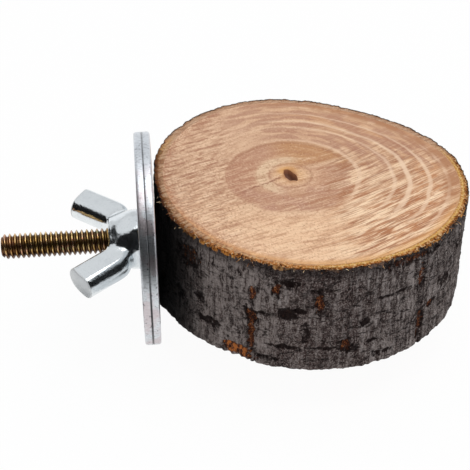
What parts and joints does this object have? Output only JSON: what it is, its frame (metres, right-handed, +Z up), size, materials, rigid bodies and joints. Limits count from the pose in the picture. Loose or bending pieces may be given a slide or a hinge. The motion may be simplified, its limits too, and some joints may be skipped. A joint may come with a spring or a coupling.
{
  "type": "bird perch",
  "caption": "Round platform perch for a bird cage: a slice of log with its bark on a threaded stud, clamped to the cage wires between wide washers by a wing nut.",
  "frame": {"origin": "on the bolt's axis, in the plane where the two washers clamp the cage wires", "axes": "+X along the bolt's axis into the slice, +Z up, square to the sawn faces; -X points into the cage wall's outside, where the wing nut is"},
  "size_m": [0.1158, 0.0781, 0.0534],
  "materials": {
    "sawn_wood": "sawn end grain, sanded, unfinished",
    "bark": "natural bark, rough",
    "yellow_zinc": "yellow passivated zinc plate on steel",
    "bright_zinc": "bright zinc plate on stamped steel",
    "polished_zinc": "bright zinc plate on a forging"
  },
  "bodies": {
    "perch": {"wood_slice": "sawn_wood", "bark": "bark", "hanger_bolt": "yellow_zinc"},
    "inner_washer": {"inner_washer": "bright_zinc"},
    "outer_washer": {"outer_washer": "bright_zinc"},
    "wing_nut": {"wing_nut": "polished_zinc"}
  },
  "joints": [
    {"name": "inner_washer_spin", "type": "hinge", "parent": "perch", "child": "inner_washer", "pos_m": [0.001, 0, 0], "axis": [1, 0, 0], "continuous": true},
    {"name": "washer_travel", "type": "slide", "parent": "perch", "child": "outer_washer", "axis": [-1, 0, 0], "range_m": [0, 0.02667]},
    {"name": "nut_turn", "type": "hinge", "parent": "outer_washer", "child": "wing_nut", "pos_m": [-0.0055, 0, 0], "axis": [-1, 0, 0], "range_deg": [0, 7560]}
  ],
  "couplings": [
    {"joint": "nut_turn", "follows": "washer_travel", "rad_per_m": 4947.3}
  ]
}
